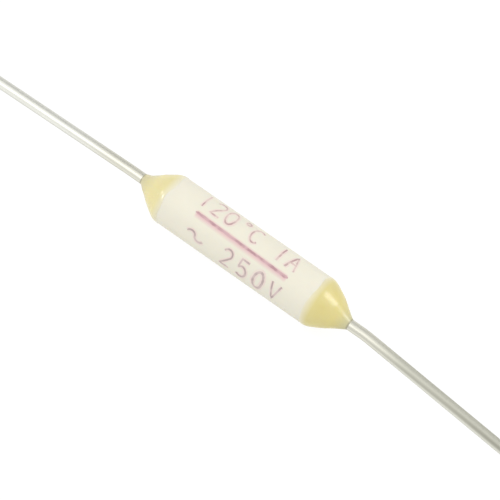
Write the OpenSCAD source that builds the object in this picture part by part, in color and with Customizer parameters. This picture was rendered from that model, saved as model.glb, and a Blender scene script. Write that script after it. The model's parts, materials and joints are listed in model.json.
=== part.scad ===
// Axial thermal fuse of the fusible-alloy kind: a ceramic tube closed by two resin seals, with a
// tinned copper lead out of each end and an alloy link between the leads that melts at its rated
// temperature. The tube's axis is X, the origin is the tube's middle, and Z points up.

/* [Ceramic tube] */
// Outer diameter of the tube
tube_d = 2.5; // [2.3:0.1:3.5]
// Length of the tube from end face to end face
tube_len = 8.7; // [7.6:0.1:14]
// Wall of the tube
tube_wall = 0.4; // [0.25:0.05:0.5]
// Chamfer on the edges of the tube's end faces
tube_chamfer = 0.08; // [0.04:0.01:0.11]

/* [Leads] */
// Diameter of the lead wire
lead_d = 0.53; // [0.4:0.01:0.65]
// Length of each lead outside its seal, along the wire
lead_free = 35; // [15:1:60]
// Length of bare lead inside the tube, from the seal to the link
lead_in = 1.7; // [1.2:0.1:2]
// Straight wire between the tip of a seal and the kink
kink_at = 0.8; // [0.3:0.1:3]
// Angle by which the left lead is bent off the tube's axis
left_bend = 1; // [0.6:0.1:10]
// Angle by which the right lead is bent off the tube's axis
right_bend = 5; // [0.6:0.1:15]

/* [Resin seals] */
// Length of the left seal outside the tube
left_seal_len = 1.45; // [1:0.05:2.5]
// Length of the right seal outside the tube
right_seal_len = 1.8; // [1:0.05:2.5]
// Outward swell of the left seal's flank, as a share of its height
left_seal_swell = 0.06; // [0:0.01:0.12]
// Outward swell of the right seal's flank, as a share of its height
right_seal_swell = 0.1; // [0:0.01:0.12]
// Depth to which the resin fills each end of the bore
seal_plug = 1.2; // [0.8:0.1:1.8]
// Length of the resin's lap over the outside of the tube
seal_lap = 0.2; // [0.1:0.05:0.6]
// Thickness of the resin's lap at the tube's end face
seal_film = 0.03; // [0.025:0.005:0.08]
// Thickness of the resin at the rim of its lap
seal_rim = 0.015; // [0.005:0.005:0.02]
// Thickness of the resin round the wire at a seal's tip
seal_tip = 0.04; // [0.02:0.01:0.1]

/* [Fusible link] */
// Diameter of the alloy rod
link_d = 0.7; // [0.6:0.02:0.8]
// Length over which the alloy wets the end of each lead
link_wet = 0.3; // [0.1:0.05:0.4]
// Thickness of the alloy where it wets a lead
link_skin = 0.05; // [0.03:0.01:0.08]
// Thickness of the flux coat round the alloy rod
flux_wall = 0.2; // [0.1:0.01:0.25]
// Length of lead that the flux covers past the alloy
flux_lap = 0.1; // [0.05:0.05:0.2]
// Length of the flux coat's domed ends
flux_dome = 0.45; // [0.3:0.05:0.55]

/* [Printed stripe] */
// Length of the stripe
stripe_len = 5.3; // [3:0.1:6]
// Width of the stripe
stripe_w = 0.16; // [0.1:0.01:0.4]
// Thickness of the ink
stripe_ink = 0.02; // [0.01:0.005:0.03]
// Distance of the stripe's middle from the tube's middle
stripe_x = 0.1; // [-0.3:0.05:0.3]
// Turn of the stripe round the tube, from the top towards the front
stripe_turn = 15; // [0:1:90]
// Skew of the stripe off the tube's axis
stripe_skew = 1.4; // [0:0.1:3]

/* [Hidden] */
$fn = 96;

tube_r = tube_d / 2;
bore_r = tube_r - tube_wall;
lead_r = lead_d / 2;
// The link bridges what is left of the bore between the two bare stretches of lead
link_gap = tube_len - 2 * (seal_plug + lead_in);
// Where the resin's outline runs inside the tube's wall, which is then cut out of it
mid_wall_r = (bore_r + tube_r) / 2;
// Steps of the curved outlines
flank_steps = 14;
dome_steps = 10;

// Turns a shape drawn up the Z axis so that it lies along X
module along_x() {
    rotate([0, 90, 0]) children();
}

// Puts a shape that is drawn outwards from X = 0 at the tube's right or left end face
module at_right_end() {
    translate([tube_len / 2, 0, 0]) children();
}

module at_left_end() {
    mirror([1, 0, 0]) at_right_end() children();
}

module tube_solid() {
    half = tube_len / 2;
    c = tube_chamfer;
    along_x() rotate_extrude() polygon([
        [bore_r, -half + c], [bore_r + c, -half], [tube_r - c, -half], [tube_r, -half + c],
        [tube_r, half - c], [tube_r - c, half], [bore_r + c, half], [bore_r, half - c]
    ]);
}

// One seal's resin, drawn from the tube's end face outwards, before the tube and the wire are cut
// out of it: a plug in the bore, a thin lap over the tube's edge that thins out towards its rim, and
// a swollen cone down to the wire
module resin_mass(len, swell) {
    rim_r = tube_r + seal_rim;
    base_r = tube_r + seal_film;
    tip_r = lead_r + seal_tip;
    flank = [
        for (i = [0:flank_steps])
        let (u = 1 - i / flank_steps, rise = u + 4 * swell * u * (1 - u))
        [tip_r + (base_r - tip_r) * rise, len * (1 - u)]
    ];
    along_x() rotate_extrude() polygon(concat(
        [[0, -seal_plug], [mid_wall_r, -seal_plug], [mid_wall_r, -seal_lap], [rim_r, -seal_lap]],
        flank,
        [[0, len]]
    ));
}

// One lead from its inner end at the link to its cut tip, drawn for the right end: two straight
// stretches that meet in a mitre at the kink
module wire(seal_len, bend) {
    inner_x = link_gap / 2;
    kink_x = tube_len / 2 + seal_len + kink_at;
    difference() {
        translate([inner_x, 0, 0]) along_x()
            cylinder(r = lead_r, h = kink_x - inner_x + lead_d);
        translate([kink_x, 0, 0]) rotate([0, 0, -bend / 2]) mitre_block();
    }
    translate([kink_x, 0, 0]) difference() {
        rotate([0, 0, -bend]) translate([-lead_d, 0, 0]) along_x()
            cylinder(r = lead_r, h = lead_d + lead_free - kink_at);
        rotate([0, 0, 180 - bend / 2]) mitre_block();
    }
}

// Block that cuts a wire's end to the mitre: its near face passes through the kink
module mitre_block() {
    translate([0, -lead_d, -lead_d]) cube(2 * lead_d);
}

// The straight inner ends of both leads, as the seals, link and flux close round them
module wire_cores() {
    reach = tube_len / 2 + max(left_seal_len, right_seal_len) + kink_at;
    for (side = [0, 1])
        mirror([side, 0, 0]) translate([link_gap / 2, 0, 0]) along_x()
            cylinder(r = lead_r, h = reach - link_gap / 2);
}

// The alloy rod with its tapered ends, before the leads are cut out of it
module link_mass() {
    half = link_gap / 2;
    skin_r = lead_r + link_skin;
    link_r = link_d / 2;
    along_x() rotate_extrude() polygon([
        [0, -half - link_wet], [skin_r, -half - link_wet], [link_r, -half],
        [link_r, half], [skin_r, half + link_wet], [0, half + link_wet]
    ]);
}

// The flux coat with its domed ends, before the link and the leads are cut out of it
module flux_mass() {
    flux_r = link_d / 2 + flux_wall;
    shoulder = link_gap / 2 + link_wet + flux_lap;
    dome = [
        for (i = [0:dome_steps])
        let (a = 90 * i / dome_steps)
        [flux_r * cos(a), shoulder + flux_dome * sin(a)]
    ];
    lower = [for (i = [dome_steps:-1:0]) [dome[i][0], -dome[i][1]]];
    along_x() rotate_extrude() polygon(concat(lower, dome));
}

module ceramic_tube() {
    color("ivory") tube_solid();
}

module left_seal() {
    color("khaki") difference() {
        at_left_end() resin_mass(left_seal_len, left_seal_swell);
        tube_solid();
        wire_cores();
    }
}

module right_seal() {
    color("khaki") difference() {
        at_right_end() resin_mass(right_seal_len, right_seal_swell);
        tube_solid();
        wire_cores();
    }
}

module left_lead() {
    color("silver") mirror([1, 0, 0]) wire(left_seal_len, left_bend);
}

module right_lead() {
    color("silver") wire(right_seal_len, right_bend);
}

module fusible_link() {
    color("lightslategray") difference() {
        link_mass();
        wire_cores();
    }
}

module flux_coat() {
    color("goldenrod") difference() {
        flux_mass();
        link_mass();
        wire_cores();
    }
}

// A band of ink that follows the tube's surface
module print_stripe() {
    color("palevioletred") rotate([stripe_turn, 0, 0]) intersection() {
        along_x() difference() {
            cylinder(r = tube_r + stripe_ink, h = tube_len, center = true);
            cylinder(r = tube_r, h = 2 * tube_len, center = true);
        }
        translate([stripe_x, 0, 0]) rotate([0, 0, -stripe_skew])
            translate([-stripe_len / 2, -stripe_w / 2, 0]) cube([stripe_len, stripe_w, tube_d]);
    }
}

ceramic_tube();
left_seal();
right_seal();
left_lead();
right_lead();
fusible_link();
flux_coat();
print_stripe();
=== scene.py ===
# %% [markdown]
# # Dressing a thermal fuse
# A thermal fuse guards a motor or a heater: inside a small ceramic tube a rod of soft alloy joins two
# leads, and it melts when the tube gets too hot. The CAD model has each piece as a plain solid. In this
# lesson every piece is modelled once more over its solid, smooth and with its own finish, and the
# result is lit and photographed. Everything is in metres, in the frame of the CAD model: X runs along
# the tube, Z points up, and the origin is the tube's middle.

import json
import math

import bmesh
import bpy
from mathutils import Matrix, Vector

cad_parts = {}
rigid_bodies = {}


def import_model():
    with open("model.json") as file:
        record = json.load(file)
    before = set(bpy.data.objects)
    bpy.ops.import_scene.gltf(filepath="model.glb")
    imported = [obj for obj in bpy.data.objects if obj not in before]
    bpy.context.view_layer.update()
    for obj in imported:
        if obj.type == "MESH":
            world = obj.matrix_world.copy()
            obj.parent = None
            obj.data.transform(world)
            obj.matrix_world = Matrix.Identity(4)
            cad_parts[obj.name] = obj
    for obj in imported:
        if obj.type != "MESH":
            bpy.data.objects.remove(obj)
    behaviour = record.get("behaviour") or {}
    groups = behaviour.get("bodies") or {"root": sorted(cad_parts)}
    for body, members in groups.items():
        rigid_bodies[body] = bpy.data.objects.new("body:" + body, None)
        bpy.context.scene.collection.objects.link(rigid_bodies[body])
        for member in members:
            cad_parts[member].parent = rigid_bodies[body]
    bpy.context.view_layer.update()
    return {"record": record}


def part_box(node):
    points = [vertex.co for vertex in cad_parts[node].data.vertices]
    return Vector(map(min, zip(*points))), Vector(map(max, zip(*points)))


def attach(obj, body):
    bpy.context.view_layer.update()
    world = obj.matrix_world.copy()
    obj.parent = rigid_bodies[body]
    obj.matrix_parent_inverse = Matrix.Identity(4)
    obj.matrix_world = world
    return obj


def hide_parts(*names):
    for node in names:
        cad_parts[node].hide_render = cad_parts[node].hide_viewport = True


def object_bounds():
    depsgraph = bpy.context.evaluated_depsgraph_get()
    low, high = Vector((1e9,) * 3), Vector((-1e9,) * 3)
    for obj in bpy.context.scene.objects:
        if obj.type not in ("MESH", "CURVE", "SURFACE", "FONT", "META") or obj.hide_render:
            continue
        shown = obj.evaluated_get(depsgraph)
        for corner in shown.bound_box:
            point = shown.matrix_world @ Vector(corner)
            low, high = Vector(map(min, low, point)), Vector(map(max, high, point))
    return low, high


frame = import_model()
MM = 0.001

# %% [markdown]
# ## Sizes from the frame
# A dressed piece has to lie where its solid lies, so its sizes are read from the frame and not typed
# again. The record's mounts give the radii and the directions of the leads, and the boxes of the solids
# say where each piece ends. Only what neither shows, such as the tube's wall, is written here.

# %% Read the sizes
TUBE_WALL = 0.4 * MM

mounts = {mount["name"]: mount for mount in frame["record"]["mounts"]}
tube_r = mounts["barrel"]["dims"]["r_mm"] * MM
lead_r = mounts["left_lead"]["dims"]["r_mm"] * MM
bore_r = tube_r - TUBE_WALL
tube_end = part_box("ceramic_tube")[1].x
left_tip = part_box("left_seal")[0].x
right_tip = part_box("right_seal")[1].x
plug_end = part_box("right_seal")[0].x
wire_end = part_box("right_lead")[0].x
alloy_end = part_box("fusible_link")[1].x
alloy_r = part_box("fusible_link")[1].z
flux_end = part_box("flux_coat")[1].x
flux_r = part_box("flux_coat")[1].z
print("radii, mm: tube", tube_r / MM, "bore", bore_r / MM, "lead", lead_r / MM)

# %% [markdown]
# ## The camera
# The picture was taken from above and a little to the right, with a long lens, so that the two edges of
# the tube look almost parallel. A camera could be placed by eye and corrected, but a small product is
# easier to match by angles: the azimuth and the elevation set the direction, the lens and the distance
# set the scale, and a small sideways step puts the tube where it stands in the frame. The Standard view
# transform renders a colour about as it is written.

# %% Place the camera
AZIMUTH = math.radians(37.15)
ELEVATION = math.radians(66.4)
DISTANCE = 114.4 * MM
STEP_RIGHT = 0.295 * MM
STEP_UP = -0.012 * MM
SENSOR_WIDTH = 36
LENS = 180
NEAREST = 1 * MM
FARTHEST = 10

flat = math.cos(ELEVATION)
back = Vector((math.sin(AZIMUTH) * flat, -math.cos(AZIMUTH) * flat, math.sin(ELEVATION)))
right = Vector((math.cos(AZIMUTH), math.sin(AZIMUTH), 0))
up = back.cross(right)

bpy.ops.object.select_all(action="DESELECT")
bpy.ops.object.camera_add(location=back * DISTANCE + right * STEP_RIGHT + up * STEP_UP)
camera = bpy.context.object
camera.name = "photo_camera"
camera.rotation_euler = back.to_track_quat("Z", "Y").to_euler()
camera.data.sensor_width = SENSOR_WIDTH
camera.data.lens = LENS
camera.data.clip_start = NEAREST
camera.data.clip_end = FARTHEST
bpy.context.scene.camera = camera
bpy.context.scene.view_settings.view_transform = "Standard"
print("camera at, mm:", [round(v / MM, 1) for v in camera.location])

# %% [markdown]
# ## Picking by place
# A modelling operator acts on whatever is selected. A script has no mouse, so each piece starts with
# nothing selected, and its vertices, edges or faces are picked by a test on where they are. Their index
# numbers would do as well, but those change with every step that is added.

# %% Select by place
def select_only(piece=None):
    """In object mode, select that object alone, or nothing."""
    if bpy.context.mode != "OBJECT":
        bpy.ops.object.mode_set(mode="OBJECT")
    bpy.ops.object.select_all(action="DESELECT")
    if piece:
        piece.select_set(True)
        bpy.context.view_layer.objects.active = piece


def pick(kind, test):
    """In edit mode, select only the vertices, edges or faces whose middle passes the test."""
    bpy.ops.mesh.select_mode(type=kind)
    bpy.ops.mesh.select_all(action="DESELECT")
    mesh = bmesh.from_edit_mesh(bpy.context.object.data)
    parts = {"VERT": mesh.verts, "EDGE": mesh.edges, "FACE": mesh.faces}[kind]
    for part in parts:
        points = [part.co] if kind == "VERT" else [vertex.co for vertex in part.verts]
        part.select_set(bool(test(sum(points, Vector()) / len(points))))
    mesh.select_flush_mode()
    bmesh.update_edit_mesh(bpy.context.object.data)


select_only()
print("objects selected now:", len(bpy.context.selected_objects))

# %% [markdown]
# ## Closing a mesh and handing it over
# At the end of each piece, vertices that lie on each other are welded and all faces are turned outwards.
# The piece is then shaded smooth, apart from sharp edges, parented to the body it rides on, and the
# solid it stands for is hidden.

# %% Close, smooth and hand over
WELD = 1e-6
SHARP_ANGLE = math.radians(45)


def face_outwards():
    """In edit mode, weld vertices that lie on each other and turn all faces outwards."""
    bpy.ops.mesh.select_all(action="SELECT")
    bpy.ops.mesh.remove_doubles(threshold=WELD)
    bpy.ops.mesh.normals_make_consistent(inside=False)


def put_in_place(piece, slot, *nodes):
    """Smooth a finished piece, parent it to the root body and hide the solids it stands for."""
    select_only(piece)
    bpy.ops.object.shade_smooth_by_angle(angle=SHARP_ANGLE)
    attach(piece, "root")
    if nodes:
        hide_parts(*nodes)
    print(piece.name, "has", len(piece.data.polygons), "faces")


print("edges stay sharp from", round(math.degrees(SHARP_ANGLE)), "degrees on")

# %% [markdown]
# ## The ceramic tube
# The body is a fired ceramic tube, open at both ends before it is sealed. It could be spun from an
# outline, but a cylinder is as quick: its two end faces are inset by the wall, the inner faces are
# bridged into a bore, and the sharp rims are bevelled the way firing rounds them.

# %% Model the tube
QUARTER_TURN = math.pi / 2
ROUND_STEPS = 128
RIM_ROUNDING = 0.2 * MM
RIM_STEPS = 5
NEAR_END = 0.99 * tube_end
NEAR_SKIN = 0.99 * tube_r

select_only()
bpy.ops.mesh.primitive_cylinder_add(
    vertices=ROUND_STEPS, radius=tube_r, depth=2 * tube_end, rotation=(0, QUARTER_TURN, 0)
)
tube = bpy.context.object
tube.name = "tube"
bpy.ops.object.transform_apply(rotation=True)
bpy.ops.object.mode_set(mode="EDIT")
pick("FACE", lambda p: abs(p.x) > NEAR_END)
bpy.ops.mesh.inset(thickness=TUBE_WALL, use_individual=True)
bpy.ops.mesh.bridge_edge_loops()
pick("EDGE", lambda p: abs(p.x) > NEAR_END and math.hypot(p.y, p.z) > NEAR_SKIN)
bpy.ops.mesh.bevel(offset=RIM_ROUNDING, segments=RIM_STEPS, affect="EDGES")
face_outwards()
bpy.ops.object.mode_set(mode="OBJECT")
put_in_place(tube, "ceramic", "ceramic_tube")

# %% [markdown]
# ## A finish and its shader
# The ceramic is matte and a little translucent, so light spreads some way under its surface. Like every
# finish here it starts from the Principled shader: a number that holds all over the piece goes straight
# onto a socket, and nodes are added only for what varies. As in the editor, a socket takes either a link
# or a typed value, and connect does whichever it is given.

# %% Start the ceramic
def new_finish(name, sockets):
    """A material with those values on its Principled shader."""
    finish = bpy.data.materials.new(name)
    finish.use_nodes = True
    shader = finish.node_tree.nodes["Principled BSDF"]
    for socket, value in sockets.items():
        shader.inputs[socket].default_value = value
    return finish


def add_node(finish, kind, **settings):
    node = finish.node_tree.nodes.new(kind)
    for setting, value in settings.items():
        setattr(node, setting, value)
    return node


def connect(finish, source, target):
    """Link an output to an input, or set the input when the source is a plain value."""
    if isinstance(source, bpy.types.NodeSocket):
        finish.node_tree.links.new(source, target)
    else:
        target.default_value = source


def to_shader(finish, output, socket):
    connect(finish, output, finish.node_tree.nodes["Principled BSDF"].inputs[socket])


ceramic = new_finish("cream_ceramic", {
    "Subsurface Weight": 0.12,
    "Subsurface Scale": 0.3 * MM,
    "Subsurface Radius": (1.0, 0.8, 0.5),
    "Specular IOR Level": 0.35,
})
tube.data.materials.append(ceramic)
print(tube.name, "is made of", ceramic.name)

# %% [markdown]
# ## The grain of the ceramic
# Pressing the powder leaves a fine grain. It is noise on Object coordinates, so it stays on the piece
# when the camera moves, and a Mapping node in Texture mode gives its spots a real size. The noise varies
# the roughness and, as bump, the surface. Most of its values lie in the middle of its range, so that
# stretch is spread over the wanted numbers.

# %% Press a grain into the ceramic
NOISE_SPAN = (0.3, 0.7)
GRAIN_SIZE = 0.05 * MM
GRAIN_DEPTH = 0.004 * MM
MATTE = (0.5, 0.7)


def object_place(finish):
    """The place on the piece, in metres."""
    return add_node(finish, "ShaderNodeTexCoord").outputs["Object"]


def noise(finish, spot, stretch=1.0, turn=0.0, detail=3.0):
    """Noise with spots of that size, drawn out along X, which may be turned about Z."""
    mapping = add_node(finish, "ShaderNodeMapping", vector_type="TEXTURE")
    mapping.inputs["Rotation"].default_value = (0, 0, turn)
    mapping.inputs["Scale"].default_value = (spot * stretch, spot, spot)
    texture = add_node(finish, "ShaderNodeTexNoise")
    texture.inputs["Scale"].default_value = 1
    texture.inputs["Detail"].default_value = detail
    connect(finish, object_place(finish), mapping.inputs["Vector"])
    connect(finish, mapping.outputs["Vector"], texture.inputs["Vector"])
    return texture.outputs["Fac"]


def map_range(finish, value, from_low, from_high, to_low, to_high, smooth=False):
    """Spread one range of a value over another, evenly or with soft ends."""
    node = add_node(finish, "ShaderNodeMapRange")
    node.interpolation_type = "SMOOTHSTEP" if smooth else "LINEAR"
    numbers = (value, from_low, from_high, to_low, to_high)
    for number, socket in zip(numbers, ("Value", "From Min", "From Max", "To Min", "To Max")):
        connect(finish, number, node.inputs[socket])
    return node.outputs["Result"]


def press_in(finish, height, depth):
    """Bump of that depth in metres."""
    bump = add_node(finish, "ShaderNodeBump")
    bump.inputs["Distance"].default_value = depth
    connect(finish, height, bump.inputs["Height"])
    to_shader(finish, bump.outputs["Normal"], "Normal")


grain = noise(ceramic, GRAIN_SIZE)
to_shader(ceramic, map_range(ceramic, grain, *NOISE_SPAN, *MATTE), "Roughness")
press_in(ceramic, grain, GRAIN_DEPTH)
print("ceramic finish has", len(ceramic.node_tree.nodes), "nodes")

# %% [markdown]
# ## Clouds of cream
# The ceramic is a warm white whose tone drifts a little, as firing leaves it. A Mix node blends a darker
# and a paler cream by a second noise with larger spots.

# %% Colour the ceramic
CREAM = (0.865, 0.83, 0.70)
CLOUD_SIZE = 1.2 * MM
CLOUD_TONES = (0.97, 1.03)


def blend_colours(finish, factor, first, second):
    """From the first colour, at factor 0, to the second, at factor 1."""
    node = add_node(finish, "ShaderNodeMix", data_type="RGBA")
    connect(finish, factor, node.inputs["Factor"])
    connect(finish, (*first, 1) if isinstance(first, tuple) else first, node.inputs["A"])
    connect(finish, (*second, 1) if isinstance(second, tuple) else second, node.inputs["B"])
    return node.outputs["Result"]


darker, paler = [tuple(tone * part for part in CREAM) for tone in CLOUD_TONES]
clouded = blend_colours(ceramic, noise(ceramic, CLOUD_SIZE), darker, paler)
print("darker cream:", [round(part, 2) for part in darker])

# %% [markdown]
# ## Ink that bled into the ceramic
# The stamped stripe has bled into the ceramic, as a pale pink edge, wider below the stripe than above.
# It could be a film of its own, but it lies in the ceramic, so it is part of its colour: the angle round
# the tube times the radius is a length along the surface, and the pink fades over that length.

# %% Bleed the stripe into the ceramic
PINK = (0.80, 0.52, 0.54)
STRIPE_LENGTH = 5.3 * MM
STRIPE_MIDDLE = 0.1 * MM
STRIPE_TURN = math.radians(12.7)
PRINT_SKEW = math.radians(1.4)
BLEED_UP = 0.17 * MM
BLEED_CORE = 0.04 * MM
BLEED_DOWN = 0.28 * MM
BLEED_END = 0.1 * MM


def calculate(finish, operation, *numbers):
    """A Math node on values or outputs."""
    node = add_node(finish, "ShaderNodeMath", operation=operation)
    for number, socket in zip(numbers, node.inputs):
        connect(finish, number, socket)
    return node.outputs["Value"]


def place_parts(finish):
    """The x, y and z of the place on the piece."""
    parts = add_node(finish, "ShaderNodeSeparateXYZ")
    connect(finish, object_place(finish), parts.inputs["Vector"])
    return parts.outputs["X"], parts.outputs["Y"], parts.outputs["Z"]


x, y, z = place_parts(ceramic)
around = calculate(ceramic, "ARCTAN2", calculate(ceramic, "MULTIPLY", y, -1.0), z)
arc_place = calculate(ceramic, "MULTIPLY", around, tube_r)
stripe_place = calculate(ceramic, "MULTIPLY_ADD", x, math.tan(PRINT_SKEW), STRIPE_TURN * tube_r)
below = calculate(ceramic, "SUBTRACT", arc_place, stripe_place)
upper_side = map_range(ceramic, below, -BLEED_UP, 0.0, 0.0, 1.0, smooth=True)
lower_side = map_range(ceramic, below, BLEED_CORE, BLEED_DOWN, 1.0, 0.0)
across = calculate(ceramic, "MULTIPLY", upper_side, lower_side)
from_middle = calculate(ceramic, "ABSOLUTE", calculate(ceramic, "SUBTRACT", x, STRIPE_MIDDLE))
along = map_range(ceramic, from_middle, STRIPE_LENGTH / 2 - BLEED_END, STRIPE_LENGTH / 2, 1.0, 0.0)
bleed = calculate(ceramic, "MULTIPLY", across, along)
to_shader(ceramic, blend_colours(ceramic, bleed, clouded, PINK), "Base Color")
print("ceramic finish now has", len(ceramic.node_tree.nodes), "nodes")

# %% [markdown]
# ## A pen and a lathe
# Most of the other pieces are round, and a lathe needs only an outline. A curve could hold it, but one
# vertex that is extruded from point to point, like a pen, is simpler. Spin turns the line once round the
# X axis, and the weld joins the last step to the first. The same pen later draws the print.

# %% Draw and spin
PEN_START = 0.1 * MM


def draw_line(name, points):
    """Extrude one vertex from point to point, and stay in edit mode."""
    select_only()
    bpy.ops.mesh.primitive_plane_add(size=PEN_START)
    line = bpy.context.object
    line.name = name
    bpy.ops.object.mode_set(mode="EDIT")
    bpy.ops.mesh.select_mode(type="VERT")
    bpy.ops.mesh.merge(type="CENTER")
    bpy.ops.transform.translate(value=points[0])
    for here, there in zip(points, points[1:]):
        bpy.ops.mesh.extrude_region_move(TRANSFORM_OT_translate={"value": Vector(there) - Vector(here)})
    return line


def spin_outline(name, outline, steps=ROUND_STEPS):
    """Turn an outline of (x, radius) points once round the X axis."""
    piece = draw_line(name, [(x, 0, radius) for x, radius in outline])
    bpy.ops.mesh.select_all(action="SELECT")
    bpy.ops.mesh.spin(steps=steps, angle=4 * QUARTER_TURN, center=(0, 0, 0), axis=(1, 0, 0))
    face_outwards()
    bpy.ops.object.mode_set(mode="OBJECT")
    return piece


print("one turn of the lathe has", ROUND_STEPS, "steps")

# %% [markdown]
# ## The outline of a seal
# Each end is closed with a drop of epoxy, which laps a little over the ceramic, runs down to the lead
# and creeps along it as a thin film. The flank is a taper with a slight swell, hollow towards the wire,
# and the lap has the round edge of a drop. A soft minimum of the two rounds the shoulder, as surface
# tension does, where a bevel would have one radius all over. The hidden side is sunk a little into the
# wire and the tube, so that no gap shows.

# %% Draw the outline of a seal
LAP = 0.28 * MM
SHOULDER = 0.15 * MM
SUNK = 0.003 * MM
RIM_SUNK = 5 * SUNK
FLANK_FILM = 1 / 3
SKIN_STEPS = 56


def soft_minimum(first, second, softness):
    """The smaller of two lengths, with a rounded change from one to the other."""
    nearness = max(softness - abs(first - second), 0) / softness
    return min(first, second) - nearness * nearness * softness / 4


def seal_outline(length, swell, hollow, film, tip_film, creep):
    """Closed outline of a right-hand seal, with x counted from the tube's end face."""
    tip_r = lead_r + tip_film
    base_r = tube_r + film * FLANK_FILM
    skin = []
    for step in range(SKIN_STEPS + 1):
        x = -LAP + (length + LAP) * step / SKIN_STEPS
        to_tube = 1 - x / length
        # The swell is a parabola over the whole flank, the hollow half a wave next to the wire.
        rise = to_tube + 4 * swell * to_tube * (1 - to_tube)
        dip = hollow * math.sin(min(2 * to_tube, 1) * math.pi)
        flank = tip_r + (base_r - tip_r) * rise - dip
        lap_r = tube_r - SUNK + (film + SUNK) * math.sqrt(min(max(1 + x / LAP, 0), 1))
        skin.append((x, soft_minimum(flank, lap_r, SHOULDER)))
    plug = plug_end - tube_end
    # Back along the wire, up the plug, out along the bore, up the end face and under the lap.
    hidden = [
        (length + creep, lead_r + SUNK),
        (length + creep, lead_r - SUNK),
        (plug, lead_r - SUNK),
        (plug, bore_r + SUNK),
        (-SUNK, bore_r + SUNK),
        (-SUNK, tube_r - RIM_ROUNDING),
        (-LAP, tube_r - RIM_SUNK),
    ]
    return skin + hidden + skin[:1]


print("the resin laps over the ceramic by", round(LAP / MM, 2), "mm")

# %% [markdown]
# ## From outline to drop
# A spun drop is too perfect. The wires were never quite centred, so the tip is pulled to where its wire
# comes out, and proportional editing takes the flank along. The hole through the plug goes with it. The
# rim was never trimmed, so it is pulled back and forth in the same way at a few places round the tube.

# %% Spin a seal and make it uneven
TIP_SLACK = 0.01 * MM
WAVE_SPOT = 0.05 * MM
WAVE_WIDTH = 0.6 * MM


def drag(step, width):
    """In edit mode, move what is selected, and less and less of what lies within that width of it."""
    bpy.ops.transform.translate(
        value=step, use_proportional_edit=True, proportional_edit_falloff="SMOOTH", proportional_size=width
    )


def make_seal(name, node, side, foot, offset, lean, waves, **form):
    """A seal whose flank meets the wire at that distance from the tube's middle."""
    outline = seal_outline(foot - tube_end, **form)
    piece = spin_outline(name, [(side * (tube_end + x), radius) for x, radius in outline])
    bpy.ops.object.mode_set(mode="EDIT")
    pick("VERT", lambda p: abs(p.x) > foot - TIP_SLACK)
    drag((0, offset, 0), lean)
    pick("VERT", lambda p: abs(p.x) < tube_end and math.hypot(p.y, p.z) < lead_r)
    bpy.ops.transform.translate(value=(0, offset, 0))
    for turn, reach in waves:
        spot = Vector((tube_end - LAP, -tube_r * math.sin(turn), tube_r * math.cos(turn)))
        pick("VERT", lambda p: (Vector((abs(p.x), p.y, p.z)) - spot).length < WAVE_SPOT)
        drag((-side * reach, 0, 0), WAVE_WIDTH)
    bpy.ops.object.mode_set(mode="OBJECT")
    put_in_place(piece, "resin", node)
    return piece


print("a wave of the rim is", round(2 * WAVE_WIDTH / MM, 2), "mm wide")

# %% [markdown]
# ## Two unequal ends
# No two drops set alike. The left one is short and nearly straight, with a wire that comes out a little
# behind the axis. The right one is fuller, leans forward over a longer stretch and stops just short of
# the tip of its solid. A wave is a turn from the top towards the front, and a step towards the middle.

# %% Make both seals
LEFT_OFFSET = 0.053 * MM
RIGHT_OFFSET = -0.04 * MM
LEFT_LEAN = 0.3 * MM
RIGHT_LEAN = 0.9 * MM
LEFT_CREEP = 0.08 * MM
RIGHT_CREEP = 0.03 * MM
SEAL_FILM = 0.03 * MM
SHORT_OF_TIP = 0.1 * MM
left_foot = -left_tip
right_foot = right_tip - SHORT_OF_TIP


def rim_waves(*waves):
    """Turns in radians and reaches in metres, from degrees and millimetres."""
    return [(math.radians(turn), reach * MM) for turn, reach in waves]


LEFT_WAVES = rim_waves((-12, 0.06), (18, -0.09), (62, -0.03), (120, 0.05), (200, -0.06), (280, 0.04))
RIGHT_WAVES = rim_waves((-8, -0.06), (42, 0.05), (110, -0.04), (190, 0.06), (265, -0.05))
left_resin = make_seal(
    "left_resin", "left_seal", -1, left_foot, LEFT_OFFSET, LEFT_LEAN, LEFT_WAVES,
    swell=0.025, hollow=0.035 * MM, film=SEAL_FILM, tip_film=0.02 * MM, creep=LEFT_CREEP,
)
right_resin = make_seal(
    "right_resin", "right_seal", 1, right_foot, RIGHT_OFFSET, RIGHT_LEAN, RIGHT_WAVES,
    swell=0.06, hollow=0.03 * MM, film=SEAL_FILM, tip_film=0.01 * MM, creep=RIGHT_CREEP,
)

# %% [markdown]
# ## Yellow epoxy
# Cast epoxy is glossy, lets light a little way in, and is clouded where it was mixed by hand. Where it
# thins out, what lies under it shows: the ceramic under the lap and the tin towards the wire. Clear resin
# would show this by itself, but it is slow and noisy to render, so the colours are blended by the
# distance from the tube's middle, and the light goes less deep where the resin is thin. A darker olive
# ring where the film ends on the wire is painted shade, the shadow at the edge of the resin.

# %% Mix the epoxy
# The colour of the painted shade where the resin film ends on the wire.
SHADE_OLIVE = (0.36, 0.34, 0.24)
BATCH_SIZE = 0.7 * MM
LAP_FADE = (tube_end - 1.3 * LAP, tube_end + 0.08 * MM)
SHOWS_THROUGH = 0.9
FOOT_FADE_END = 0.1 * MM
SHADE_RING_FADE = (0.1 * MM, 0.03 * MM)
SHADE_RING_STRENGTH = 0.75
SCATTER = 0.35
SCATTER_FADE = 0.4 * MM
SCATTER_END = 0.1 * MM
POLISH_SIZE = 0.3 * MM
RIPPLE_SIZE = 0.5 * MM
RIPPLE_DEPTH = 0.005 * MM


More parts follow.
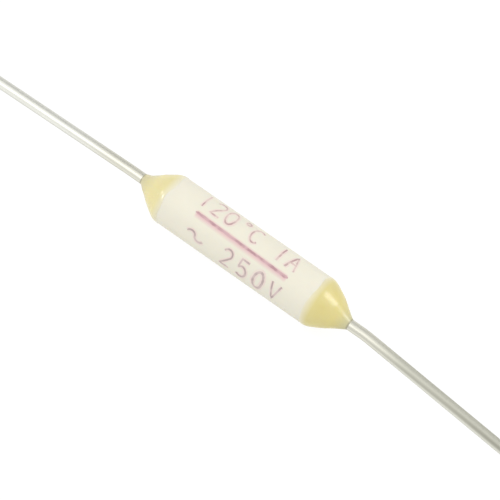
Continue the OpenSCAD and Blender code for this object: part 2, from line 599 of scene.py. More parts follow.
def epoxy(name, deep, pale, foot, creep, foot_fade, over_tin, gloss):
    """Resin of two tints, which turns into the colour over_tin where it thins out at its foot."""
    finish = new_finish(name, {
        "Subsurface Scale": 0.35 * MM,
        "Subsurface Radius": (1.0, 0.8, 0.3),
        "IOR": 1.55,
    })
    distance = calculate(finish, "ABSOLUTE", place_parts(finish)[0])

    def fade(start, end, first, last):
        return map_range(finish, distance, start, end, first, last, smooth=True)

    batch = blend_colours(finish, noise(finish, BATCH_SIZE, detail=2.0), deep, pale)
    tin_shows = fade(foot - foot_fade, foot + FOOT_FADE_END, 0.0, SHOWS_THROUGH)
    # Painted shade: a darker olive ring where the film ends on the wire.
    ring_start, ring_full = [foot + creep - before for before in SHADE_RING_FADE]
    ring = fade(ring_start, ring_full, 0.0, SHADE_RING_STRENGTH)
    shade_ringed = blend_colours(finish, ring, blend_colours(finish, tin_shows, batch, over_tin), SHADE_OLIVE)
    ceramic_shows = map_range(finish, distance, *LAP_FADE, SHOWS_THROUGH, 0.0)
    to_shader(finish, blend_colours(finish, ceramic_shows, shade_ringed, CREAM), "Base Color")

    at_tube = fade(tube_end, tube_end + SCATTER_FADE, 0.0, SCATTER)
    at_foot = fade(foot - SCATTER_FADE, foot - SCATTER_END, SCATTER, 0.0)
    to_shader(finish, calculate(finish, "MINIMUM", at_tube, at_foot), "Subsurface Weight")
    to_shader(finish, map_range(finish, noise(finish, POLISH_SIZE), *NOISE_SPAN, *gloss), "Roughness")
    press_in(finish, noise(finish, RIPPLE_SIZE, detail=1.0), RIPPLE_DEPTH)
    return finish


print("the lap shows the ceramic from", round(LAP_FADE[0] / MM, 2), "to", round(LAP_FADE[1] / MM, 2), "mm")

# %% [markdown]
# ## Two batches
# The right end is the deeper yellow and a little less glossy, so the two ends are two batches of one
# finish. The gloss is a lowest and a highest roughness.

# %% Finish the seals
pale_epoxy = epoxy(
    "pale_epoxy", deep=(0.79, 0.695, 0.33), pale=(0.84, 0.765, 0.41), foot=left_foot, creep=LEFT_CREEP,
    foot_fade=0.9 * MM, over_tin=(0.66, 0.605, 0.37), gloss=(0.2, 0.28),
)
deep_epoxy = epoxy(
    "deep_epoxy", deep=(0.73, 0.63, 0.235), pale=(0.80, 0.71, 0.32), foot=right_foot, creep=RIGHT_CREEP,
    foot_fade=0.7 * MM, over_tin=(0.60, 0.57, 0.34), gloss=(0.28, 0.34),
)
for seal, batch_finish in ((left_resin, pale_epoxy), (right_resin, deep_epoxy)):
    seal.data.materials.append(batch_finish)
    print(seal.name, "is made of", batch_finish.name)

# %% [markdown]
# ## The leads
# The leads are soft copper wire with a skin of tin, bent by hand after the sealing and cut off at the
# ends. A curve with a round bevel would make a wire, but its cut end needs edges of its own. So a circle
# is extruded along the straight stretch, spun about a point beside the wire for the bend, and extruded
# again. Its end face is inset by the skin of tin, and the core inside is pushed in a little.

# %% Model the leads
WIRE_SIDES = 48
BEND_RADIUS = 6 * MM
BEND_STEPS = 10
TIN_SKIN = 0.03 * MM
CORE_DEPTH = 0.2 * TIN_SKIN


def lead_way(node):
    """A lead's direction past its kink."""
    return Vector(mounts[node]["axis"])


def lead_reach(node):
    """A lead's length past its kink."""
    return mounts[node]["dims"]["length_mm"] * MM


def kink_x(node):
    """The place along the tube at which a lead is bent."""
    return Vector(mounts[node]["pos_m"]).x - lead_way(node).x * lead_reach(node) / 2


def make_lead(name, node, offset):
    """A wire from its inner end to its cut, with a round bend where the solid has a kink."""
    way = lead_way(node)
    side = math.copysign(1, way.x)
    bend = math.atan2(-way.y, abs(way.x))
    tangent = BEND_RADIUS * math.tan(bend / 2)
    start = Vector((side * wire_end, offset, 0))
    bend_x = kink_x(node) - side * tangent

    select_only()
    bpy.ops.mesh.primitive_circle_add(
        vertices=WIRE_SIDES, radius=lead_r, location=start, rotation=(0, QUARTER_TURN, 0), fill_type="NGON"
    )
    lead = bpy.context.object
    lead.name = name
    bpy.ops.object.transform_apply(location=True, rotation=True)
    bpy.ops.object.mode_set(mode="EDIT")
    bpy.ops.mesh.extrude_region_move(TRANSFORM_OT_translate={"value": (bend_x - start.x, 0, 0)})
    middle = (bend_x, offset - BEND_RADIUS, 0)
    bpy.ops.mesh.spin(steps=BEND_STEPS, angle=side * bend, center=middle, axis=(0, 0, 1))
    bpy.ops.mesh.extrude_region_move(TRANSFORM_OT_translate={"value": way * (lead_reach(node) - tangent)})
    bpy.ops.mesh.inset(thickness=TIN_SKIN)
    bpy.ops.transform.translate(value=way * -CORE_DEPTH)
    face_outwards()
    bpy.ops.object.mode_set(mode="OBJECT")
    print(name, "is bent by", round(math.degrees(bend), 2), "degrees at", round(kink_x(node) / MM, 2), "mm")
    put_in_place(lead, "tinned_copper", node)
    return lead


left_wire = make_lead("left_wire", "left_lead", LEFT_OFFSET)
right_wire = make_lead("right_wire", "right_lead", RIGHT_OFFSET)

# %% [markdown]
# ## A place on a wire
# The tin changes along a wire and round it. Along it, the distance from the tube's middle will do. Round
# it, the angle counts from the wire's own axis, which leaves the X axis at the kink. A UV map could hold
# both, but the axis is only a straight line with one corner, so a few Math nodes follow it.

# %% Measure along and round a wire
def wire_place(finish, node, offset):
    """Distance from the tube's middle, and angle round the wire from its top towards the front."""
    fall = lead_way(node).y / abs(lead_way(node).x)
    kink = abs(kink_x(node))
    x, y, z = place_parts(finish)
    distance = calculate(finish, "ABSOLUTE", x)
    past_kink = calculate(finish, "MAXIMUM", calculate(finish, "SUBTRACT", distance, kink), 0.0)
    axis_y = calculate(finish, "MULTIPLY_ADD", past_kink, fall, offset)
    around = calculate(finish, "ARCTAN2", calculate(finish, "SUBTRACT", axis_y, y), z)
    return distance, around


for node in ("left_lead", "right_lead"):
    print(node, "leaves the X axis at", round(kink_x(node) / MM, 2), "mm")

# %% [markdown]
# ## A dark grey line
# On these wires a soft dark grey line runs along the front and winds a little upwards past the kink.
# It could be painted on, but the angle round the wire is at hand: the less it differs from the angle of
# the line there, the darker the wire.

# %% Run a dark grey line along a wire
DARK_LINE_GREY = (0.24, 0.235, 0.19)
DARK_LINE_TURNS = (math.radians(48), math.radians(31))
DARK_LINE_WINDING = (-1 * MM, 5 * MM)
DARK_LINE_GROWTH = (2 * MM, 8 * MM)
DARK_LINE_CORE = 0.05
DARK_LINE_WIDTH = math.radians(30)


def dark_line_share(finish, node, distance, around, amounts):
    """How dark a place on a wire is from the line, with the amounts before and after the kink."""
    kink = abs(kink_x(node))
    winding_ends = [kink + place for place in DARK_LINE_WINDING]
    growth_ends = [kink + place for place in DARK_LINE_GROWTH]
    winding = map_range(finish, distance, *winding_ends, *DARK_LINE_TURNS)
    off_line = calculate(finish, "ABSOLUTE", calculate(finish, "SUBTRACT", around, winding))
    line = map_range(finish, off_line, DARK_LINE_CORE, DARK_LINE_WIDTH, 1.0, 0.0, smooth=True)
    return calculate(finish, "MULTIPLY", line, map_range(finish, distance, *growth_ends, *amounts))


print("the oxide winds by", round(math.degrees(DARK_LINE_TURNS[0] - DARK_LINE_TURNS[1])), "degrees")

# %% [markdown]
# ## Tinned copper
# Tin plate is a soft, slightly warm grey metal. Drawing the wire leaves fine lines along it, which blur
# the reflection of a lamp into a long streak, so noise that is drawn out along the wire goes into the
# roughness and a faint bump. The tone isn't even: it changes a little way from the seal, and handling has
# dulled it towards the ends. Past the change, the underside is painted paler, a painted reflection of the
# white floor below. A darker edge tint on the shader makes the wire look round.

# %% Make the tin
EDGE_TINT = (0.5, 0.5, 0.47, 1)
BRIGHT_TIN = (0.90, 0.90, 0.83)
HANDLED_TIN = (0.61, 0.605, 0.525)
CHANGE_LENGTH = 3 * MM
HANDLED_LENGTH = 5 * MM
# Angles round the wire, from the top towards the front, over which the painted floor reflection fades in.
FLOOR_SHEEN_SIDE = (math.radians(48), math.radians(75))
PATCH_SIZE = 0.8 * MM
PATCH_STRETCH = 3
PATCH_LEVELS = (0.88, 1.0)
LINE_SIZE = 0.03 * MM
LINE_STRETCH = 150
LINE_DEPTH = 0.002 * MM
LINE_GLOSS = (0.26, 0.34)
DULLING = 0.25


def dim_colour(finish, colour, level):
    node = add_node(finish, "ShaderNodeVectorMath", operation="SCALE")
    connect(finish, colour, node.inputs["Vector"])
    connect(finish, level, node.inputs["Scale"])
    return node.outputs["Vector"]


def tin(name, node, offset, near, far, change_at, handled_from, dulling, dark_line, floor_sheen):
    """Tin with one tone near the seal and another further out, so much of a dark line, and so much painted
    floor reflection below.
    """
    way = lead_way(node)
    turn = math.atan2(way.y * math.copysign(1, way.x), abs(way.x))
    handled_to = handled_from + HANDLED_LENGTH
    finish = new_finish(name, {"Metallic": 1.0, "Specular Tint": EDGE_TINT})
    distance, around = wire_place(finish, node, offset)

    change = map_range(finish, distance, change_at, change_at + CHANGE_LENGTH, 0.0, 1.0, smooth=True)
    handled = map_range(finish, distance, handled_from, handled_to, 0.0, 1.0, smooth=True)
    tone = blend_colours(finish, handled, blend_colours(finish, change, near, far), HANDLED_TIN)
    patches = noise(finish, PATCH_SIZE, stretch=PATCH_STRETCH, turn=turn)
    metal = dim_colour(finish, tone, map_range(finish, patches, 0.0, 1.0, *PATCH_LEVELS))
    # Painted highlight: past the change, the underside is blended towards bright tin, a painted reflection
    # of the floor.
    painted_floor_sheen = map_range(finish, around, *FLOOR_SHEEN_SIDE, 0.0, floor_sheen, smooth=True)
    with_floor_sheen = blend_colours(finish, calculate(finish, "MULTIPLY", painted_floor_sheen, change), metal, BRIGHT_TIN)
    darkened = dark_line_share(finish, node, distance, around, dark_line)
    to_shader(finish, blend_colours(finish, darkened, with_floor_sheen, DARK_LINE_GREY), "Base Color")

    lines = noise(finish, LINE_SIZE, stretch=LINE_STRETCH, turn=turn)
    rough = map_range(finish, lines, *NOISE_SPAN, *LINE_GLOSS)
    duller = calculate(finish, "MULTIPLY", change, dulling)
    dullest = calculate(finish, "MAXIMUM", duller, calculate(finish, "MULTIPLY", handled, DULLING))
    to_shader(finish, calculate(finish, "ADD", rough, dullest), "Roughness")
    press_in(finish, lines, LINE_DEPTH)
    return finish


print("lines of the tin are", round(LINE_SIZE * LINE_STRETCH / MM, 1), "mm long")

# %% [markdown]
# ## Two different wires
# The left wire is bright from a little way out on, with hardly any of the dark line. The right wire turns
# darker and rougher past its kink, its dark line grows there, and its underside gets a painted floor
# reflection.

# %% Finish the leads
WARM_TIN = (0.83, 0.815, 0.71)
DULL_TIN = (0.65, 0.645, 0.56)

tin_left = tin(
    "tin_left", "left_lead", LEFT_OFFSET, near=WARM_TIN, far=BRIGHT_TIN, change_at=7 * MM,
    handled_from=14 * MM, dulling=0.0, dark_line=(0.15, 0.03), floor_sheen=0.0,
)
# Only the right wire gets the painted floor reflection on its underside.
tin_right = tin(
    "tin_right", "right_lead", RIGHT_OFFSET, near=WARM_TIN, far=DULL_TIN, change_at=6.5 * MM,
    handled_from=10 * MM, dulling=DULLING, dark_line=(0.3, 0.6), floor_sheen=0.6,
)
for wire, tin_finish in ((left_wire, tin_left), (right_wire, tin_right)):
    wire.data.materials.append(tin_finish)
    print(wire.name, "is made of", tin_finish.name)

# %% [markdown]
# ## Copper at the cuts
# Where the wire was cut off, its copper core shows inside the ring of tin. A disc could be laid on it,
# but a second material on the same mesh is enough: the end face is the only one there with more than
# four corners, and it gets the copper's slot. Fine noise stands for the marks of the cutter.

# %% Finish the cut ends
CUT_SIZE = 0.05 * MM
CUT_STRETCH = 0.3
CUT_GLOSS = (0.3, 0.5)
CUT_REACH = 0.1 * MM

copper = new_finish("cut_copper", {"Metallic": 1.0})
cuts = noise(copper, CUT_SIZE, stretch=CUT_STRETCH)
to_shader(copper, blend_colours(copper, cuts, (0.62, 0.32, 0.20), (0.78, 0.45, 0.30)), "Base Color")
to_shader(copper, map_range(copper, cuts, *NOISE_SPAN, *CUT_GLOSS), "Roughness")
for wire in (left_wire, right_wire):
    wire.data.materials.append(copper)
    cut_x = max(abs(vertex.co.x) for vertex in wire.data.vertices)
    select_only(wire)
    bpy.ops.object.mode_set(mode="EDIT")
    pick("FACE", lambda p: abs(p.x) > cut_x - CUT_REACH)
    mesh = bmesh.from_edit_mesh(wire.data)
    for face in mesh.faces:
        face.select_set(face.select and len(face.verts) > 4)
    wire.active_material_index = 1
    bpy.ops.object.material_slot_assign()
    bpy.ops.object.mode_set(mode="OBJECT")
    print(wire.name, "copper faces:", sum(face.material_index for face in wire.data.polygons))

# %% [markdown]
# ## Print on a round tube
# The tube is stamped with a stripe and two rows of plain ratings in purple-pink ink. Print could be
# drawn in the ceramic's colour, but it lies on the surface as a film. It is easiest to make flat and
# upright, and a Simple Deform modifier then bends it to the tube's radius. The stamp was a little askew,
# so all of the print is turned by one small angle first.

# %% Roll flat print onto the tube
def edit_all(piece):
    """Edit that piece, with all of it selected."""
    select_only(piece)
    bpy.ops.object.mode_set(mode="EDIT")
    bpy.ops.mesh.select_all(action="SELECT")


def roll_onto_tube(piece, turn):
    """Bend a flat piece in the XZ plane round the tube, its middle turned from the top to the front."""
    edit_all(piece)
    bpy.ops.transform.rotate(value=-PRINT_SKEW, orient_axis="Y", center_override=(0, 0, 0))
    select_only(piece)
    heights = [vertex.co.z for vertex in piece.data.vertices]
    roll = piece.modifiers.new("roll", "SIMPLE_DEFORM")
    roll.deform_method = "BEND"
    roll.deform_axis = "X"
    roll.angle = (max(heights) - min(heights)) / tube_r
    bpy.ops.object.modifier_apply(modifier=roll.name)
    edit_all(piece)
    bpy.ops.transform.translate(value=(0, -tube_r, 0))
    bpy.ops.transform.rotate(value=QUARTER_TURN - turn, orient_axis="X", center_override=(0, 0, 0))
    bpy.ops.object.mode_set(mode="OBJECT")


print("the print is askew by", round(math.degrees(PRINT_SKEW), 1), "degrees")

# %% [markdown]
# ## The stripe
# The stripe was drawn by one edge of the stamp. It starts as a fine grid, because a plain plane has no
# vertices to bend. Its ends are drawn in by proportional editing with a round falloff, so that they
# look like the ends of a brush stroke.

# %% Lay the stripe out flat
STRIPE_WIDTH = 0.11 * MM
STRIPE_CUTS = (160, 6)
END_WIDTH = 0.6
END_LENGTH = 0.08 * MM
END_SLACK = 0.001 * MM

select_only()
bpy.ops.mesh.primitive_grid_add(
    x_subdivisions=STRIPE_CUTS[0], y_subdivisions=STRIPE_CUTS[1], size=1,
    location=(STRIPE_MIDDLE, 0, 0), rotation=(QUARTER_TURN, 0, 0),
)
stripe = bpy.context.object
stripe.name = "stripe"
stripe.scale = (STRIPE_LENGTH, STRIPE_WIDTH, 1)
bpy.ops.object.transform_apply(location=True, rotation=True, scale=True)
for end in (-STRIPE_LENGTH / 2, STRIPE_LENGTH / 2):
    bpy.ops.object.mode_set(mode="EDIT")
    pick("VERT", lambda p: abs(p.x - STRIPE_MIDDLE - end) < END_SLACK)
    bpy.ops.transform.resize(
        value=(1, 1, END_WIDTH), center_override=(STRIPE_MIDDLE + end, 0, 0), use_proportional_edit=True,
        proportional_edit_falloff="SPHERE", proportional_size=END_LENGTH,
    )
    bpy.ops.object.mode_set(mode="OBJECT")
print("flat stripe has", len(stripe.data.vertices), "vertices")

# %% [markdown]
# ## A ragged film of ink
# Ink on ceramic doesn't keep a straight edge. A Displace modifier with a clouds texture pushes the edges
# up and down, Solidify gives the film its thickness, and the stripe is rolled onto the tube. The edges
# could be moved one by one, but a texture gives them a natural rhythm.

# %% Make the edges ragged and roll the stripe on
RAGGED_SIZE = 0.2 * MM
RAGGED_DEPTH = 0.07 * MM
INK_FILM = 0.02 * MM

ragged = bpy.data.textures.new("ragged_edge", "CLOUDS")
ragged.noise_scale = RAGGED_SIZE
wobble = stripe.modifiers.new("wobble", "DISPLACE")
wobble.texture = ragged
wobble.texture_coords = "LOCAL"
wobble.direction = "Z"
wobble.mid_level = 0.5
wobble.strength = RAGGED_DEPTH
bpy.ops.object.modifier_apply(modifier=wobble.name)
body = stripe.modifiers.new("film", "SOLIDIFY")
body.thickness = INK_FILM
body.offset = 0
bpy.ops.object.modifier_apply(modifier=body.name)
roll_onto_tube(stripe, STRIPE_TURN)
put_in_place(stripe, "ink", "print_stripe")

# %% [markdown]
# ## Signs as strokes
# The rows give a temperature, a current and a voltage. A text object would be the usual way, but the
# signs of this stamp are thin strokes, like a pen's. So each sign is one or two strokes, in units of
# half its width and height, with arcs where the pen turns.

# %% Draw the signs
def arc(middle_x, middle_z, size_x, size_z, start, end, steps=16):
    """Points of an oval arc, with its angles in degrees from the right, upwards."""
    angles = [math.radians(start + (end - start) * step / steps) for step in range(steps + 1)]
    return [(middle_x + size_x * math.cos(a), middle_z + size_z * math.sin(a)) for a in angles]


SIGNS = {
    "0": [arc(0, 0, 1, 1, 90, 450)],
    "1": [[(0, 1), (0, -1)]],
    "2": [arc(0, 0.48, 0.95, 0.52, 160, -30) + [(-1, -1), (1, -1)]],
    "5": [[(0.9, 1), (-0.75, 1), (-0.85, 0.1)] + arc(-0.05, -0.35, 1, 0.65, 130, -140)],
    "A": [[(-1, -1), (0, 1), (1, -1)], [(-0.6, -0.25), (0.6, -0.25)]],
    "C": [arc(0.1, 0, 1.1, 1, 50, 310)],
    "V": [[(-1, 1), (0, -1), (1, 1)]],
    "°": [arc(0.2, 0.75, 0.45, 0.25, 90, 450)],
    "~": [arc(-0.9, -0.1, 0.9, 0.4, 165, 0) + arc(0.9, -0.1, 0.9, 0.4, 180, 345)[1:]],
}
print("signs drawn:", " ".join(SIGNS))

# %% [markdown]
# ## From strokes to ink
# A row is a text and a pitch. The strokes of its signs are joined into one drawing, which becomes a
# curve, and the curve's bevel is the nib. Ink never runs evenly, so some points get a wider nib, by a
# seeded choice, and the widths are smoothed before the curve becomes a mesh again.

# %% Draw and ink the strokes
HALF_WIDTH = 0.25 * MM
HALF_HEIGHT = 0.46 * MM
STROKE_CUTS = 5
NIB_STEPS = 3
SWOLLEN_SHARE = 0.4
SWOLLEN_SEED = 4
SWOLLEN = 1.35


def draw_row(name, text, first_x, pitch):
    """All the strokes of a text as one drawing in the XZ plane."""
    lines = []
    for place, sign in enumerate(text):
        middle = first_x + place * pitch
        for stroke in SIGNS.get(sign, []):
            points = [(middle + x * HALF_WIDTH, 0, z * HALF_HEIGHT) for x, z in stroke]
            lines.append(draw_line(name, points))
    select_only(lines[0])
    for line in lines:
        line.select_set(True)
    bpy.ops.object.join()
    return bpy.context.object


def ink_strokes(row, nib):
    """Turn a drawing into round strokes of about that width."""
    edit_all(row)
    bpy.ops.mesh.remove_doubles(threshold=WELD)
    bpy.ops.mesh.subdivide(number_cuts=STROKE_CUTS)
    bpy.ops.object.mode_set(mode="OBJECT")
    bpy.ops.object.convert(target="CURVE")
    row.data.bevel_depth = nib / 2
    row.data.bevel_resolution = NIB_STEPS
    row.data.use_fill_caps = True
    bpy.ops.object.mode_set(mode="EDIT")
    bpy.ops.curve.select_all(action="DESELECT")
    bpy.ops.curve.select_random(ratio=SWOLLEN_SHARE, seed=SWOLLEN_SEED)
    bpy.ops.curve.radius_set(radius=SWOLLEN)
    bpy.ops.curve.select_all(action="SELECT")
    bpy.ops.curve.smooth_radius()
    bpy.ops.object.mode_set(mode="OBJECT")
    bpy.ops.object.convert(target="MESH")


print("signs are", round(2 * HALF_HEIGHT / MM, 2), "mm high")

# %% [markdown]
# ## Two rows and their bleed
# One row stands behind the stripe and one in front of it. The round strokes are pressed to a film before
# they are rolled on. They are welded while much enlarged, because even Blender's shortest weld, a
# micrometre, would join points of them that belong apart. Round each row a little ink has spread, so it
# is printed twice: with a fine nib, and with a broad nib as a film so thin that the strokes stand proud.

# %% Print the rows
ENLARGED = 1000
RATING = ("120°C 1A", -2.5 * MM, 0.72 * MM, math.radians(-25.5))
VOLTAGE = ("~ 250V", -2.0 * MM, 0.9 * MM, math.radians(56.5))
RATING_NIB = 0.08 * MM
VOLTAGE_NIB = 0.09 * MM
BLEED_NIB = 0.22 * MM
BLEED_FILM = INK_FILM / 3


def print_row(name, text, first_x, pitch, turn, nib, film):
    """A row of print with strokes as wide as the nib and as thick as the film."""
    row = draw_row(name, text, first_x, pitch)
    ink_strokes(row, nib)
    edit_all(row)
    bpy.ops.transform.resize(value=(ENLARGED, ENLARGED, ENLARGED), center_override=(0, 0, 0))
    face_outwards()
    real = 1 / ENLARGED
    bpy.ops.transform.resize(value=(real, real * film / nib, real), center_override=(0, 0, 0))
    roll_onto_tube(row, turn)
    put_in_place(row, "ink")
    return row


rating_row = print_row("rating_row", *RATING, RATING_NIB, INK_FILM)
voltage_row = print_row("voltage_row", *VOLTAGE, VOLTAGE_NIB, INK_FILM)
rating_bleed = print_row("rating_bleed", *RATING, BLEED_NIB, BLEED_FILM)
voltage_bleed = print_row("voltage_bleed", *VOLTAGE, BLEED_NIB, BLEED_FILM)

# %% [markdown]
# ## Stamped ink
# The ink is a thin matte film that took unevenly, so its colour wanders between a strong and a worn
# tone. The stripe is the pinkest, the row in front came out greyer, and the bleed is hardly more than a
# tint of the ceramic. They differ in their two tones only, so one function makes all of them.

# %% Finish the print
INK_PATCH = 0.4 * MM
INK_SPAN = (0.38, 0.62)
INK_GRAIN = 0.04 * MM
INK_DEPTH = 0.004 * MM


def ink(name, strong, worn):
    """Matte ink that wanders between two tones."""
    finish = new_finish(name, {"Specular IOR Level": 0.3, "Roughness": 0.65})
    patches = noise(finish, INK_PATCH, detail=4.0)
    spread = map_range(finish, patches, *INK_SPAN, 0.0, 1.0, smooth=True)
    to_shader(finish, blend_colours(finish, spread, strong, worn), "Base Color")
    press_in(finish, noise(finish, INK_GRAIN), INK_DEPTH)
    return finish


stripe.data.materials.append(ink("stripe_ink", (0.52, 0.31, 0.335), (0.69, 0.465, 0.48)))
rating_row.data.materials.append(ink("rating_ink", (0.53, 0.355, 0.355), (0.77, 0.615, 0.57)))
voltage_row.data.materials.append(ink("voltage_ink", (0.50, 0.39, 0.38), (0.70, 0.57, 0.545)))
bled_ink = ink("bled_ink", (0.86, 0.72, 0.66), (0.87, 0.79, 0.69))
for bleed_row in (rating_bleed, voltage_bleed):
    bleed_row.data.materials.append(bled_ink)
for printed in (stripe, rating_row, voltage_row, rating_bleed, voltage_bleed):
    print(printed.name, "is printed in", printed.data.materials[0].name)

# %% [markdown]
# ## The works inside the tube
# The leads' inner ends are joined by a rod of low-melting alloy that wets them in a fillet, under a coat
# of flux. Neither shows from outside, but the model can be cut open, so both are spun from outlines of
# their own: the rod with its hollow fillets, the flux as a drop with rounded ends.

# %% Model the link and the flux
FILLET_STEPS = 8
DOME_STEPS = 14
INNER_STEPS = 64
ALLOY_SKIN = 0.05 * MM
DOME_LENGTH = 0.45 * MM
DOME_HOLE = 1.05 * lead_r


def link_outline():
    """The rod and its fillets, from the axis at one wire end round to the axis at the other."""
    skin_r = lead_r + ALLOY_SKIN
    half = []
    for step in range(FILLET_STEPS + 1):
        share = step / FILLET_STEPS
        fall = 1 - math.sin(share * QUARTER_TURN)
        half.append((wire_end + (alloy_end - wire_end) * share, skin_r + (alloy_r - skin_r) * fall))
    half += [(alloy_end, lead_r), (wire_end, lead_r), (wire_end, 0)]
    return [(-x, radius) for x, radius in reversed(half)] + half


def flux_outline():
    """The coat's domed skin and the hollow that the link and the wires fill."""
    last = math.acos(DOME_HOLE / flux_r)
    half = []
    for step in range(DOME_STEPS + 1):
        angle = last * step / DOME_STEPS
        half.append((flux_end - DOME_LENGTH + DOME_LENGTH * math.sin(angle), flux_r * math.cos(angle)))
    half += [(half[-1][0], lead_r), (alloy_end, lead_r), (wire_end, alloy_r)]
    outline = [(-x, radius) for x, radius in reversed(half)] + half
    return outline + outline[:1]


link = spin_outline("link", link_outline(), steps=INNER_STEPS)
put_in_place(link, "fusible_alloy", "fusible_link")
flux = spin_outline("flux", flux_outline(), steps=INNER_STEPS)
put_in_place(flux, "flux", "flux_coat")

# %% [markdown]
# ## Soft alloy and flux
# The alloy is a dull grey metal, frosted by its own crystals as it set, so one noise gives its colour,
# its roughness and its bump. The flux is an amber resin with swirls, smooth and a little translucent.

# %% Finish the link and the flux
CRYSTAL_SIZE = 0.12 * MM
FROST = (0.35, 0.55)
SWIRL_SIZE = 0.5 * MM
INNER_DEPTH = 0.01 * MM

alloy = new_finish("soft_alloy", {"Metallic": 1.0})
crystals = noise(alloy, CRYSTAL_SIZE, detail=4.0)
to_shader(alloy, blend_colours(alloy, crystals, (0.42, 0.43, 0.45), (0.58, 0.59, 0.60)), "Base Color")
to_shader(alloy, map_range(alloy, crystals, *NOISE_SPAN, *FROST), "Roughness")
press_in(alloy, crystals, INNER_DEPTH)
link.data.materials.append(alloy)

amber = new_finish("amber_flux", {
    "Subsurface Weight": 0.3,
    "Subsurface Scale": 0.3 * MM,
    "Roughness": 0.2,
})
swirl = noise(amber, SWIRL_SIZE)
to_shader(amber, blend_colours(amber, swirl, (0.45, 0.22, 0.05), (0.60, 0.34, 0.10)), "Base Color")
press_in(amber, swirl, INNER_DEPTH)
flux.data.materials.append(amber)
for inner in (link, flux):
    print(inner.name, "is made of", inner.data.materials[0].name)

# %% [markdown]
# ## The floor
# A small product is photographed on white paper. More light would make the paper white, and would bleach
# the fuse with it. So a Light Path node tells rays that see from rays that light: to the camera and in
# reflections the floor is mostly a white glow, and for all other rays it is plain paper. The share of
# real paper in what the camera sees keeps the fuse's shadow.

# %% Lay the floor
FLOOR_SIZE = 4
FLOOR_COLOUR = (0.86, 0.86, 0.86, 1)
FLOOR_GLOW = 1.1
FLOOR_GLOW_SHARE = 0.8


def split_by_rays(finish, lighting, seen, share, output):
    """Show one shader to all rays, and mix the other in by that share for rays that see."""
    rays = add_node(finish, "ShaderNodeLightPath").outputs
    seeing = calculate(finish, "MAXIMUM", rays["Is Camera Ray"], rays["Is Glossy Ray"])
    seeing = calculate(finish, "MAXIMUM", seeing, rays["Is Transmission Ray"])
    mixed = add_node(finish, "ShaderNodeMixShader")
    connect(finish, calculate(finish, "MULTIPLY", seeing, share), mixed.inputs["Fac"])
    connect(finish, lighting, mixed.inputs[1])
    connect(finish, seen, mixed.inputs[2])
    connect(finish, mixed.outputs["Shader"], finish.node_tree.nodes[output].inputs["Surface"])


select_only()
rest_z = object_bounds()[0].z
bpy.ops.mesh.primitive_plane_add(size=FLOOR_SIZE, location=(0, 0, rest_z))
floor = bpy.context.object
floor.name = "floor"
bpy.ops.object.transform_apply(location=True)
paper = new_finish("white_paper", {})
paper.node_tree.nodes.remove(paper.node_tree.nodes["Principled BSDF"])
diffuse = add_node(paper, "ShaderNodeBsdfDiffuse")
diffuse.inputs["Color"].default_value = FLOOR_COLOUR
glow = add_node(paper, "ShaderNodeEmission")
glow.inputs["Strength"].default_value = FLOOR_GLOW
split_by_rays(paper, diffuse.outputs["BSDF"], glow.outputs["Emission"], FLOOR_GLOW_SHARE, "Material Output")
floor.data.materials.append(paper)
print("floor at", round(rest_z / MM, 2), "mm")

# %% [markdown]
# ## The world
# The room is white as well, and gives most of the light. It is split in the same way: the camera and
# the reflections see it at full strength, which is white, and it lights the fuse at a lower level, so
# that the pale ceramic doesn't clip.

# %% Light the room
WHITE = (1, 1, 1, 1)
WORLD_LEVEL = 0.81

world = bpy.data.worlds.new("studio")
world.use_nodes = True
bpy.context.scene.world = world
lighting_side = world.node_tree.nodes["Background"]
seen_side = add_node(world, "ShaderNodeBackground")
for side, level in ((lighting_side, WORLD_LEVEL), (seen_side, 1)):
    side.inputs["Color"].default_value = WHITE
    side.inputs["Strength"].default_value = level
lighting = lighting_side.outputs["Background"]
split_by_rays(world, lighting, seen_side.outputs["Background"], 1.0, "World Output")
print("the world lights the fuse at a level of", WORLD_LEVEL)

# %% [markdown]
# ## The lamps
# Three soft boxes give the metal something to reflect. A large one over the front left makes the streak
# along the wires, and two small, brighter ones at the ends light the flanks of the seals. A sun or a
# point lamp would make hard spots, so each is an area light, turned to the tube and hidden from the
# camera. Its power follows from the brightness of its surface, so that a change of size keeps the look.

# %% Hang the soft boxes
TOP_DISTANCE = 0.16
LAMP_DISTANCE = 0.15


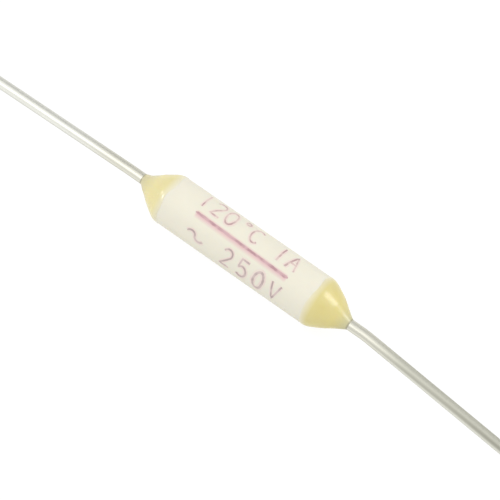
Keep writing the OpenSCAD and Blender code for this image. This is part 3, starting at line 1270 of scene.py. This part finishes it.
def soft_box(name, way, distance, width, height, brightness):
    """A soft box in that direction from the tube, its width along X."""
    outwards = Vector(way).normalized()
    across = (Vector((1, 0, 0)) - outwards * outwards.x).normalized()
    upwards = outwards.cross(across)
    select_only()
    bpy.ops.object.light_add(type="AREA", location=outwards * distance)
    lamp = bpy.context.object
    lamp.name = name
    lamp.rotation_euler = Matrix((across, upwards, outwards)).transposed().to_euler()
    lamp.data.shape = "RECTANGLE"
    lamp.data.size = width
    lamp.data.size_y = height
    lamp.data.energy = brightness * math.pi * width * height
    lamp.visible_camera = False
    print(name, "power in watts", round(lamp.data.energy, 3))
    return lamp


soft_box("top_box", (-0.32, -0.46, 0.829), TOP_DISTANCE, width=0.065, height=0.10, brightness=0.7)
soft_box("right_box", (0.65, 0.47, 0.60), LAMP_DISTANCE, width=0.033, height=0.06, brightness=7.5)
soft_box("left_box", (-0.82, -0.15, 0.55), LAMP_DISTANCE, width=0.035, height=0.035, brightness=10.0)

# %% [markdown]
# ## A gleam on each seal
# Each seal has one clear gleam, small and white on the left, long and soft on the right. A lamp that is
# bright enough for it would light the wires and the ceramic too. So each gleam has a lamp of its own:
# light linking lets it reach that seal only, and with its diffuse light off just the reflection is left.

# %% Hang the gleam lamps
for piece, way, width, height, brightness in (
    (left_resin, (-0.33, -0.43, 0.84), 0.03, 0.03, 19.0),
    (right_resin, (0.65, 0.47, 0.60), 0.04, 0.07, 3.0),
):
    gleam = soft_box(piece.name + "_gleam", way, LAMP_DISTANCE, width, height, brightness)
    gleam.visible_diffuse = False
    gleam_side = bpy.data.collections.new(piece.name + "_gleam_side")
    gleam_side.objects.link(piece)
    gleam.light_linking.receiver_collection = gleam_side

# %% [markdown]
# ## A grey card
# Bright wires on white paper lose their edges. A photographer stands a grey card behind them, just out
# of view, and its reflection draws a darker line along the upper side. The card is hidden from the
# camera, so that it doesn't show from other sides.

# %% Stand the card behind the fuse
CARD_PLACE = (-0.08, 0.1, 0.1)
CARD_SIZE = 0.2
CARD_GREY = (0.70, 0.70, 0.70, 1)

select_only()
bpy.ops.mesh.primitive_plane_add(size=CARD_SIZE, location=CARD_PLACE, rotation=(QUARTER_TURN, 0, 0))
card = bpy.context.object
card.name = "grey_card"
bpy.ops.object.transform_apply(location=True, rotation=True)
card.data.materials.append(new_finish("card_grey", {"Base Color": CARD_GREY, "Roughness": 0.9}))
card.visible_camera = False
print("grey card stands at", round(card.data.vertices[0].co.y / MM), "mm")
